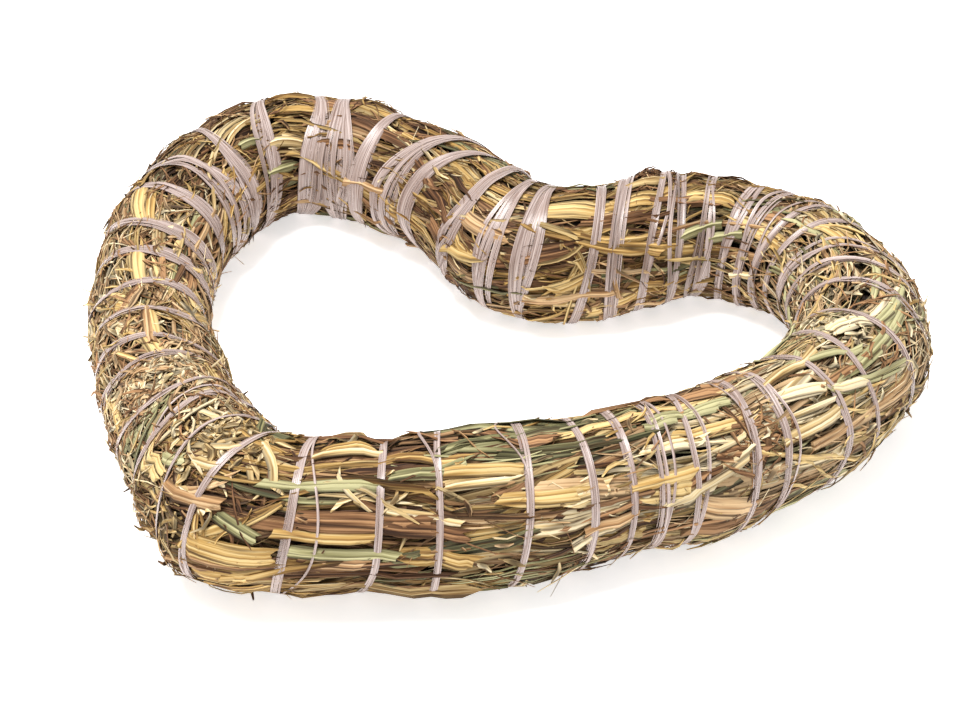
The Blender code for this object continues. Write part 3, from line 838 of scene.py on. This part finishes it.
# %% What the straw is like round the ring
KINDS = ("golden", "tan", "brown", "green", "pale")
REGIONS = np.array([
    # share, straying in degrees, length, width, how much golden, tan, brown, green, pale, then tone
    (0.000, 22, 0.75, 1.05, 0.33, 0.22, 0.12, 0.10, 0.23, 0.36),
    (0.030, 10, 1.05, 1.10, 0.38, 0.22, 0.16, 0.12, 0.12, 0.18),
    (0.050, 8, 1.20, 1.05, 0.34, 0.20, 0.18, 0.15, 0.13, 0.20),
    (0.160, 9, 1.15, 0.95, 0.34, 0.21, 0.14, 0.12, 0.19, 0.82),
    (0.240, 11, 1.05, 0.86, 0.33, 0.17, 0.06, 0.15, 0.29, 1.25),
    (0.290, 26, 0.80, 0.68, 0.24, 0.18, 0.08, 0.26, 0.24, 1.25),
    (0.360, 24, 0.85, 0.66, 0.26, 0.18, 0.16, 0.22, 0.18, 0.95),
    (0.420, 13, 1.05, 0.90, 0.38, 0.16, 0.28, 0.08, 0.10, 0.42),
    (0.500, 10, 1.15, 1.10, 0.42, 0.20, 0.26, 0.03, 0.09, 0.36),
    (0.560, 11, 1.15, 1.00, 0.38, 0.20, 0.27, 0.04, 0.11, 0.42),
    (0.680, 13, 1.05, 0.90, 0.36, 0.20, 0.31, 0.05, 0.08, 0.16),
    (0.760, 18, 0.95, 0.80, 0.36, 0.20, 0.28, 0.05, 0.11, 0.46),
    (0.830, 26, 0.80, 0.82, 0.36, 0.22, 0.24, 0.04, 0.14, 0.98),
    (0.890, 30, 0.72, 0.80, 0.33, 0.25, 0.22, 0.05, 0.15, 0.98),
    (0.945, 42, 0.58, 0.68, 0.29, 0.25, 0.16, 0.06, 0.24, 0.95),
    (0.985, 38, 0.56, 0.86, 0.33, 0.22, 0.11, 0.10, 0.24, 0.74),
    (1.000, 22, 0.75, 1.05, 0.33, 0.22, 0.12, 0.10, 0.23, 0.36),
])
# master, how many bunches of a hundred are of it, strips in a bunch, and their own width
MIX = (("broad_blade", 9, 1, 1, 0.75), ("leaf_blade", 21, 1, 2, 0.80), ("split_stalk", 20, 1, 3, 0.75),
       ("whole_stalk", 8, 1, 2, 0.80), ("torn_strip", 26, 2, 5, 0.90), ("thin_strip", 16, 3, 6, 0.95))
# height of a layer in millimetres, how it varies, and how many bunches it has
LAYERS = ((-2.7, 0.2, 640), (-2.0, 0.2, 760), (-1.4, 0.2, 740), (-0.85, 0.2, 600))
# the sine of the angle under which fewer are laid, how many, and the greatest stretch of the skin
BELOW, LAID_BELOW = -0.6, 0.55
MOST_STRETCHED = 1.9
chance = np.random.default_rng(11)


def region(share, column):
    """A value of the table at any share."""
    return np.interp(share % 1, REGIONS[:, 0], REGIONS[:, column])


def scattered(count):
    """Random places over the skin: more where the ring bends away and is longer, fewer below."""
    share, angle = chance.random(count * 3), chance.random(count * 3) * math.tau
    below = np.where(np.sin(angle) < BELOW, LAID_BELOW, 1.0)
    kept = chance.random(count * 3) * MOST_STRETCHED < stretch(share, angle) * below
    return share[kept][:count], angle[kept][:count]


def kinds_at(share):
    """A random kind of straw for each place, by what is common there."""
    weights = np.stack([region(share, 4 + k) for k in range(len(KINDS))], axis=1)
    limits = np.cumsum(weights / weights.sum(1, keepdims=True), axis=1)
    return (chance.random(len(share))[:, None] > limits[:, :-1]).sum(1)


def bunch_lie(share, angle, height, varies, strips, own_width):
    """How the strips of bunches at these places lie: side by side, a little apart."""
    count = len(share)
    heading = chance.normal(0, 1, count) * np.radians(region(share, 1))
    heading = heading + math.pi * (chance.random(count) < 0.5)
    width = region(share, 3) * chance.uniform(0.65, 1.4, count) * own_width
    length = region(share, 2) * chance.uniform(0.6, 1.35, count)
    tone = np.clip(chance.normal(0, 0.22, count) + region(share, 9), 0, 1)
    level = height + chance.normal(0, varies, count)
    bow = chance.normal(0, 1.0, count)
    loose = 0.2 * np.clip(region(share, 1) / 30, 0.1, 1)
    size = chance.integers(strips[0], strips[1] + 1, count)
    which = np.repeat(np.arange(count), size)
    order = np.arange(len(which)) - np.repeat(np.cumsum(size) - size, size) - (size[which] - 1) / 2
    number = len(which)
    beside = (order * width[which] * 1.7 + chance.normal(0, 0.25, number)) * MILLIMETRE
    forward = chance.normal(0, 4.5, number) * MILLIMETRE * (size[which] > 1)
    turned, here, facing = heading[which], share[which], angle[which]
    run, radius = RING_LENGTH * stretch(here, facing), at(RADIUS, here)
    return which, {
        "share": here + (forward * np.cos(turned) - beside * np.sin(turned)) / run,
        "angle": facing + (forward * np.sin(turned) + beside * np.cos(turned)) / radius,
        "heading": turned + chance.normal(0, 0.045, number),
        "height": (level[which] + chance.normal(0, 0.12, number)) * MILLIMETRE,
        "length": length[which] * chance.uniform(0.75, 1.1, number),
        "width": width[which] * chance.uniform(0.75, 1.2, number),
        "roll": chance.normal(0, 0.2, number), "twist": chance.normal(0, 0.22, number),
        "bow": (bow[which] + chance.normal(0, 0.3, number)) * MILLIMETRE,
        "tilt": np.sign(chance.random(number) - 0.5) * chance.uniform(0.1, 0.6, number) * MILLIMETRE,
        "kick": chance.exponential(0.8, number) * (chance.random(number) < loose[which]) * MILLIMETRE,
        "tone": np.clip(tone[which] + chance.normal(0, 0.10, number), 0, 1),
    }


def some_of(lie, chosen):
    """The chosen rows of a lie."""
    return {key: value[chosen] for key, value in lie.items()}


def group_of(kind, master_name):
    """The piece that copies of a master go into: blades are kept apart from narrower straws."""
    return kind + ("_blades" if master_name in BLADES else "_straws")


# %% Laying the bunches
BLADES = ("broad_blade", "leaf_blade")
straws = {kind + "_straws": [] for kind in KINDS} | {kind + "_blades": [] for kind in KINDS}
limits = np.cumsum([part[1] for part in MIX]) / 100
for layer_height, varies, bunches in LAYERS:
    share, angle = scattered(bunches)
    kind_of = kinds_at(share)
    master_of = (chance.random(len(share))[:, None] > limits[:-1]).sum(1)
    for m, (master_name, _, fewest, most, own_width) in enumerate(MIX):
        picked = master_of == m
        which, lie = bunch_lie(share[picked], angle[picked], layer_height, varies, (fewest, most), own_width)
        kind_here = kind_of[picked][which]
        for k, kind in enumerate(KINDS):
            if (kind_here == k).any():
                laid = lay(MASTERS[master_name], some_of(lie, kind_here == k))
                straws[group_of(kind, master_name)].append(laid)

# %% [markdown]
# ## The broad stalks that the solids have
# Some stalks are broad enough to be pieces of their own. Each of those solids is replaced by
# a modelled stalk in the same place: a master is stretched between the same two ends.

# %% The broad stalks that the solids have
STALK_WIDTH = 4.5 * MILLIMETRE
STALKS = [
    # name, finish, master, how many STALK_WIDTH wide, both ends as share in thousandths and angle, tone
    ("tip_gold_blade", "golden", "broad_blade", 1.56, 0, 10, 28, 8, 0.6),
    ("tip_tan_stalk", "tan", "split_stalk", 0.89, 990, 38, 14, 42, 0.5),
    ("front_brown_blade", "brown", "leaf_blade", 1.22, 30, 40, 74, 34, 0.6),
    ("front_green_stalk", "green", "split_stalk", 0.78, 18, 62, 60, 60, 0.8),
    ("front_yellow_stalk", "pale", "split_stalk", 0.78, 34, 88, 58, 94, 0.3),
    ("front_lower_green_stalk", "green", "split_stalk", 0.89, 31, 14, 64, 10, 0.7),
    ("front_gold_stalk", "golden", "split_stalk", 0.89, 78, 68, 104, 64, 0.7),
    ("front_pale_blade", "pale", "leaf_blade", 1.33, 114, 38, 134, 42, 0.5),
    ("front_lower_stalk", "tan", "split_stalk", 0.78, 119, 8, 143, 14, 0.6),
    ("right_limb_gold_stalk", "golden", "split_stalk", 1.00, 138, 34, 166, 38, 0.7),
    ("right_limb_green_stalk", "green", "whole_stalk", 0.78, 154, 84, 186, 86, 0.8),
    ("right_limb_brown_blade", "brown", "leaf_blade", 1.11, 172, 46, 193, 34, 0.7),
    ("right_limb_pale_stalk", "pale", "whole_stalk", 0.89, 197, 36, 224, 40, 0.5),
    ("right_limb_upper_stalk", "pale", "split_stalk", 0.89, 203, 84, 238, 92, 0.3),
    ("right_lobe_long_green_stalk", "green", "leaf_blade", 1.00, 232, 62, 298, 66, 0.85),
    ("right_lobe_gold_blade", "golden", "leaf_blade", 1.33, 358, 142, 396, 138, 0.6),
    ("right_lobe_green_stalk", "green", "split_stalk", 0.89, 410, 140, 438, 150, 0.6),
    ("cleft_yellow_blade", "golden", "broad_blade", 1.67, 468, 116, 504, 114, 0.8),
    ("cleft_yellow_stalk", "pale", "split_stalk", 1.00, 440, 84, 470, 92, 0.3),
    ("cleft_tan_stalk", "tan", "split_stalk", 1.00, 466, 190, 502, 196, 0.7),
    ("left_lobe_tan_blade", "tan", "broad_blade", 1.44, 508, 144, 530, 140, 0.7),
    ("left_lobe_tan_stalk", "tan", "split_stalk", 1.00, 596, 166, 632, 170, 0.7),
    ("left_lobe_brown_blade", "brown", "leaf_blade", 1.33, 636, 92, 676, 88, 0.6),
    ("left_limb_green_stalk", "green", "split_stalk", 1.00, 688, 164, 726, 160, 0.5),
    ("left_limb_pale_stalk", "pale", "split_stalk", 1.00, 676, 144, 704, 136, 0.4),
    ("left_limb_gold_stalk", "golden", "leaf_blade", 1.11, 792, 80, 821, 92, 0.5),
    ("left_limb_brown_blade", "brown", "leaf_blade", 1.22, 836, 142, 872, 138, 0.7),
    ("left_limb_tan_stalk", "tan", "split_stalk", 0.89, 886, 90, 920, 84, 0.6),
]
HELD_HEIGHT = -0.1 * MILLIMETRE


def held_stalk(master, width, share_a, angle_a, share_b, angle_b, tone):
    """One copy of a master between two places on the skin; its width is in metres."""
    share_a, share_b = share_a / 1000, share_b / 1000
    share_b += share_b < share_a
    middle_share, middle_angle = (share_a + share_b) / 2, math.radians((angle_a + angle_b) / 2)
    run = (share_b - share_a) * RING_LENGTH * float(stretch(np.array(middle_share), np.array(middle_angle)))
    climb = math.radians(angle_b - angle_a) * float(at(RADIUS, np.array(middle_share)))
    own_length, own_width = np.ptp(master["points"][:, 0]), np.ptp(master["points"][:, 1])
    lie = {"share": middle_share, "angle": middle_angle, "heading": math.atan2(climb, run),
           "height": HELD_HEIGHT, "length": math.hypot(run, climb) / own_length,
           "width": width / own_width, "roll": 0, "twist": 0.1, "bow": 0,
           "tilt": 0.15 * MILLIMETRE, "kick": 0.4 * MILLIMETRE, "tone": tone}
    return lay(master, {key: [value] for key, value in lie.items()})


held = []
for name, kind, master_name, width, *ends, tone in STALKS:
    held.append(held_stalk(MASTERS[master_name], width * STALK_WIDTH, *ends, tone))
    piece = add_piece(name + "_in_detail", held[-1], FINISHES[kind], name)

# %% [markdown]
# ## The straws that can be told apart
# Among the straws that lie on top, some dozens are broad or bright enough to be known one by
# one in the photo: the wide blades low on the front, the fan of blades in the cleft, the
# green ones in the right lobe. Each lies where it is seen, between two places on the skin.

# %% The straws that can be told apart
SEEN = [
    # finish, master, width in millimetres, both ends as share in thousandths and angle
    ("golden", "broad_blade", 5.5, 6, -16, 27, -4), ("golden", "leaf_blade", 4.5, 5, -32, 34, -18),
    ("tan", "leaf_blade", 5.0, 35, 10, 58, -1), ("golden", "split_stalk", 3.0, 24, 27, 55, 24),
    ("golden", "broad_blade", 5.0, 37, 93, 53, 103), ("golden", "leaf_blade", 3.2, 57, 86, 89, 75),
    ("green", "leaf_blade", 3.6, 60, 67, 89, 74), ("golden", "leaf_blade", 2.6, 6, 38, 9, 9),
    ("tan", "leaf_blade", 3.0, 987, 28, 15, 66), ("green", "broad_blade", 3.6, 12, 35, 22, 22),
    ("brown", "broad_blade", 4.2, 57, 34, 86, 21), ("pale", "split_stalk", 2.2, 59, 44, 84, 30),
    ("golden", "leaf_blade", 5.5, 62, 14, 87, 2), ("golden", "leaf_blade", 5.5, 440, 107, 474, 113),
    ("golden", "broad_blade", 5.5, 405, 118, 435, 110), ("brown", "leaf_blade", 5.0, 479, 145, 518, 171),
    ("golden", "broad_blade", 5.5, 479, 172, 494, 187), ("golden", "broad_blade", 6.0, 456, 191, 480, 217),
    ("golden", "leaf_blade", 4.0, 522, 167, 539, 154), ("tan", "split_stalk", 3.0, 430, 220, 466, 211),
    ("green", "split_stalk", 3.6, 395, 144, 417, 155), ("golden", "broad_blade", 5.5, 786, 64, 814, 80),
    ("golden", "broad_blade", 5.0, 843, 84, 863, 87), ("golden", "leaf_blade", 2.8, 753, 128, 795, 170),
    ("golden", "leaf_blade", 3.6, 764, 161, 790, 177), ("pale", "split_stalk", 2.2, 699, 99, 734, 112),
    ("green", "split_stalk", 3.6, 715, 128, 732, 123), ("green", "broad_blade", 3.2, 683, 166, 709, 157),
    ("pale", "broad_blade", 3.2, 675, 144, 692, 135), ("golden", "leaf_blade", 3.4, 963, 33, 985, 34),
    ("golden", "leaf_blade", 3.0, 966, 42, 987, 42), ("pale", "split_stalk", 3.6, 997, 64, 6, 69),
    ("green", "broad_blade", 3.4, 980, 46, 996, 63), ("pale", "leaf_blade", 3.2, 997, 46, 11, 34),
    ("golden", "broad_blade", 5.0, 910, 82, 927, 87), ("golden", "split_stalk", 3.0, 890, 92, 910, 92),
    ("golden", "leaf_blade", 3.2, 862, 138, 884, 138), ("brown", "leaf_blade", 4.8, 158, 114, 191, 100),
    ("green", "split_stalk", 2.8, 149, 78, 163, 80), ("green", "split_stalk", 2.8, 169, 83, 181, 81),
    ("golden", "leaf_blade", 4.0, 157, 67, 189, 65), ("pale", "leaf_blade", 3.2, 145, 61, 174, 60),
    ("pale", "leaf_blade", 4.0, 199, 73, 227, 61), ("pale", "split_stalk", 3.4, 228, 58, 246, 45),
    ("pale", "leaf_blade", 3.0, 203, 37, 226, 39), ("golden", "leaf_blade", 6.0, 142, 31, 160, 27),
    ("tan", "broad_blade", 6.0, 163, 12, 187, -10), ("green", "split_stalk", 2.8, 230, 91, 255, 69),
    ("green", "split_stalk", 2.4, 207, 82, 235, 102), ("golden", "leaf_blade", 5.0, 366, 137, 404, 135),
    ("golden", "broad_blade", 4.4, 341, 93, 361, 106), ("brown", "leaf_blade", 4.2, 365, 117, 391, 122),
    ("green", "leaf_blade", 2.8, 287, 87, 319, 86), ("green", "leaf_blade", 2.8, 277, 64, 318, 66),
    ("green", "broad_blade", 4.6, 274, 76, 295, 66), ("pale", "broad_blade", 7.0, 256, 102, 274, 82),
    ("pale", "split_stalk", 2.6, 380, 178, 400, 188), ("brown", "leaf_blade", 4.4, 92, 102, 120, 85),
    ("golden", "leaf_blade", 4.4, 91, 45, 125, 39), ("pale", "leaf_blade", 3.4, 72, 59, 109, 61),
]
for kind, master_name, width, *ends in SEEN:
    tone = float(np.clip(chance.normal(0.12, 0.12) + region(ends[0] / 1000, 9), 0, 1))
    laid = held_stalk(MASTERS[master_name], width * MILLIMETRE, *ends, tone)
    straws[group_of(kind, master_name)].append(laid)
print("straws laid one by one:", len(SEEN))

# %% [markdown]
# ## Fibres, wisps and chaff
# Between the straws hang hair-thin fibres, curled wisps and flakes of chaff. They are what
# breaks the outline, so some of their ends kick out, by no more than a few millimetres. The
# left side of the heart, where the straw is chopped, has most of them.

# %% Fibres, wisps and chaff
def loose_bits(master_name, count, height, straying, kicked, width=1.0):
    """So many loose bits of one kind, more of them where the straw is chopped short."""
    share, angle = scattered(count)
    _, lie = bunch_lie(share, angle, height, 0.35, (1, 1), width)
    number = len(lie["share"])
    kept = chance.random(number) < 0.08 + 0.92 * np.clip(region(lie["share"], 1) / 34, 0, 1) ** 1.5
    lie = some_of(lie, kept)
    number = int(kept.sum())
    lie["heading"] = lie["heading"] + chance.normal(0, math.radians(straying), number)
    lie["kick"] = chance.exponential(1.0, number) * (chance.random(number) < kicked) * MILLIMETRE
    lie["length"] = chance.uniform(0.45, 1.2, number)
    lie["width"] = chance.uniform(0.6, 1.3, number) * width
    return lay(MASTERS[master_name], lie, 0.9)


def heap(master_name, count, share, angle, spread, width=1.0):
    """A heap of loose bits that lie every way round one place; the spread is in millimetres."""
    run = RING_LENGTH * float(stretch(np.array(share), math.radians(angle)))
    places = chance.normal(0, spread * MILLIMETRE, (2, count))
    around = places[1] / float(at(RADIUS, np.array(share)))
    _, lie = bunch_lie(share + places[0] / run, math.radians(angle) + around, -0.35, 0.4, (1, 1), width)
    lie["heading"] = chance.uniform(0, math.tau, count)
    lie["length"] = chance.uniform(0.3, 0.8, count)
    lie["width"] = chance.uniform(0.6, 1.3, count) * width
    return lay(MASTERS[master_name], lie, 0.8)


# finish, master, how many, share and angle of the middle, spread in millimetres, width
HEAPS = (
    ("pale", "chaff_flake", 80, 0.994, 96, 7, 1.2), ("pale", "torn_strip", 30, 0.994, 92, 7),
    ("golden", "chaff_flake", 60, 0.994, 92, 8, 1.1), ("pale", "chaff_flake", 120, 0.940, 77, 6),
    ("tan", "curled_wisp", 50, 0.940, 77, 6), ("brown", "curled_wisp", 60, 0.448, 64, 4.5),
    ("tan", "fibre", 36, 0.448, 64, 4), ("golden", "torn_strip", 24, 0.488, 186, 6),
    ("tan", "torn_strip", 24, 0.467, 192, 6), ("brown", "torn_strip", 16, 0.188, 50, 4),
    ("brown", "fibre", 24, 0.188, 50, 4), ("pale", "torn_strip", 9, 0.053, 48, 2.5),
    ("pale", "chaff_flake", 60, 0.262, 100, 6),
)
# finish, master, how many, height in millimetres, straying in degrees, share of kicked ends, width
LOOSE_BITS = (
    ("tan", "fibre", 2400, -0.75, 16, 0.25), ("pale", "fibre", 1600, -0.7, 25, 0.25, 0.9),
    ("brown", "fibre", 2000, -0.7, 25, 0.3), ("brown", "curled_wisp", 700, -0.8, 35, 0.3),
    ("golden", "curled_wisp", 700, -0.8, 35, 0.2), ("pale", "chaff_flake", 1500, -0.7, 50, 0.1),
    ("tan", "chaff_flake", 1500, -0.7, 50, 0.1),
)
for maker, table in ((heap, HEAPS), (loose_bits, LOOSE_BITS)):
    for kind, *row in table:
        straws[kind + "_straws"].append(maker(*row))
for group_name, sets in straws.items():
    kind = group_name.split("_")[0]
    piece = add_piece(group_name, joined(sets), FINISHES[kind])

# %% [markdown]
# ## The twine
# The twine is a band of clear whitish plastic film that has split into strands. It was wound
# round and round under tension, so each strand touches only the highest straws and runs
# straight between them. That is worked out here: a ray finds the topmost straw under each
# point of a strand, and the strand is then pulled taut over those heights. On the inner side
# of the bends, where nothing holds the strands together, the band fans out.

# %% The twine's finish
FILM_SHADED, FILM_LIT = linear(138, 112, 100), linear(228, 210, 203)
LEAST_SOLID, MOST_SOLID = 0.12, 0.72
twine_material, twine_shader = new_material("split_film_twine")
tree = twine_material.node_tree
film_uv = uv_node(tree)
film = noise_node(tree, film_uv, 40, 2600, 3)
slits = noise_node(tree, film_uv, 22, 1500, 1)
solid = sum_node(tree, -0.88, (slits, 2.8), (attribute_node(tree, "tone"), 0.3))
solid = math_node(tree, "MAXIMUM", math_node(tree, "MINIMUM", solid, MOST_SOLID), LEAST_SOLID)
lit = line_node(tree, film, 3.2, -1.2, True)
tree.links.new(solid, twine_shader.inputs["Alpha"])
tree.links.new(mix_node(tree, lit, FILM_SHADED, FILM_LIT), twine_shader.inputs["Base Color"])
set_inputs(twine_shader, {"Roughness": 0.30, "Specular IOR Level": 0.7})
add_bump(tree, twine_shader, film, 0.35, 0.3 * MILLIMETRE)


# %% How high the straw stands under each point of a strand
def height_finder(arrays):
    """A function that gives the height of the topmost straw above the skin at a place."""
    corners = iter(arrays["corners"].tolist())
    faces = [tuple(islice(corners, count)) for count in arrays["counts"].tolist()]
    tree_of_straw = BVHTree.FromPolygons(arrays["points"].tolist(), faces)
    above, below = 5 * MILLIMETRE, -4 * MILLIMETRE

    def find(share, angle):
        starts, ends = place_on_skin(share, angle, above), place_on_skin(share, angle, below)
        heights = []
        for start, end in zip(starts, ends):
            way = Vector(end - start)
            hit = None
            if way.length > MILLIMETRE:
                hit = tree_of_straw.ray_cast(Vector(start), way, way.length)[3]
            heights.append(NO_STRAW if hit is None else above + (below - above) * hit / way.length)
        return np.array(heights)
    return find


def pulled_taut(support):
    """The heights of a strand pulled tight over its supports, all the way round and round."""
    bend = 0.5 * BUNDLE_THICKNESS * (1 - math.cos(math.tau / STEPS_A_TURN))
    taut = support.copy()
    for _ in range(PULLS):
        taut = np.maximum(support, (np.roll(taut, 1) + np.roll(taut, -1)) / 2 - bend)
    # film is too stiff to turn a sharp corner over a straw
    for _ in range(2):
        taut = (np.roll(taut, 1) + 2 * taut + np.roll(taut, -1)) / 4
    return taut


# %% The twine
STEPS_A_TURN = 48
STRANDS = 6
STRAY_STRANDS = 2
NO_STRAW = -1.0 * MILLIMETRE
HIGHEST_SUPPORT = 0.5 * MILLIMETRE
PULLS = 40
# each strand lies a little higher than the one before, so that none lies in another
LIFT, LIFT_EACH = 0.12 * MILLIMETRE, 0.03 * MILLIMETRE
RIBBON_THICKNESS = 0.12 * MILLIMETRE
NARROWEST, WIDEST = 0.8 * MILLIMETRE, 3.4 * MILLIMETRE
# the twine's map in metres: the length of a turn, and how far on the next strand starts
TURN_LENGTH = 0.129
NEXT_FILM = 0.0171
TWINE_WELD = 0.0002 * MILLIMETRE
ribbon = finish_stalk(model_stalk("twine_ribbon", 4, [
    (x, 1.0, 1.0, 0, 0) for x in np.linspace(-1000, 1000, STEPS_A_TURN + 1)]))
go, ribbon_side, ribbon_up = ribbon["points"].T / MILLIMETRE * [[0.001], [1], [1]]
# each turn goes on into the next, so the ribbon's two end faces are left out
quads = ribbon["corners"].reshape(-1, 4)
quads = quads[np.ptp(go[quads], axis=1) > 0]
steps = np.arange(TURNS * STEPS_A_TURN) / STEPS_A_TURN
find_height = height_finder(joined([part for sets in straws.values() for part in sets] + held))
strand_sets = []
for strand in range(STRANDS + STRAY_STRANDS):
    loose = strand >= STRANDS
    base = 0.3 * (strand - STRANDS) if loose else -1 + 2 * (strand + 0.5) / STRANDS
    seeds = chance.uniform(0, math.tau, 3)

    def sideways(turn):
        """How far the strand is from the band's middle, in metres."""
        whole_way = math.tau * turn / TURNS
        wander = 0.22 * np.sin(22 * whole_way + seeds[0]) + 0.18 * np.sin(16 * whole_way + seeds[1])
        return (base + wander) * half_band(turn) + loose * stray(turn)

    def place_of(turn):
        """The share and angle of the strand after so many turns."""
        angle = math.pi / 2 + math.tau * turn
        middle = turn_share(turn, angle)
        return middle + sideways(turn) / (RING_LENGTH * stretch(middle, angle)), angle

    support = np.minimum(find_height(*place_of(steps)), HIGHEST_SUPPORT)
    taut = pulled_taut(support) + LIFT + LIFT_EACH * strand
    own_width = chance.uniform(0.9, 1.5)
    for turn_number in range(TURNS):
        turn = turn_number + go / 2
        share, angle = place_of(turn)
        width = np.clip(4 * half_band(turn) / STRANDS * own_width, NARROWEST, WIDEST)
        share = share - ribbon_side * width / (RING_LENGTH * stretch(share, angle))
        lift = np.interp(turn % TURNS, np.append(steps, TURNS), np.append(taut, taut[0]))
        strand_sets.append({
            "points": place_on_skin(share, angle, lift + ribbon_up * RIBBON_THICKNESS),
            "corners": quads.ravel(), "counts": np.full(len(quads), 4),
            "uv": np.c_[turn * TURN_LENGTH, ribbon_side * width + NEXT_FILM * strand],
            "tone": np.full(len(go), seeds[2] / math.tau), "depth": np.ones(len(go)),
            "edge": np.abs(ribbon_side) * 2})
twine = add_piece("twine_strands", joined(strand_sets), twine_material, "binding_twine", smooth_below=60)
bpy.ops.object.mode_set(mode="EDIT")
bpy.ops.mesh.select_all(action="SELECT")
bpy.ops.mesh.remove_doubles(threshold=TWINE_WELD)
bpy.ops.object.mode_set(mode="OBJECT")
open_edges = bmesh.new()
open_edges.from_mesh(twine.data)
print("twine: strands", STRANDS + STRAY_STRANDS, "open edges:", sum(e.is_boundary for e in open_edges.edges))
open_edges.free()
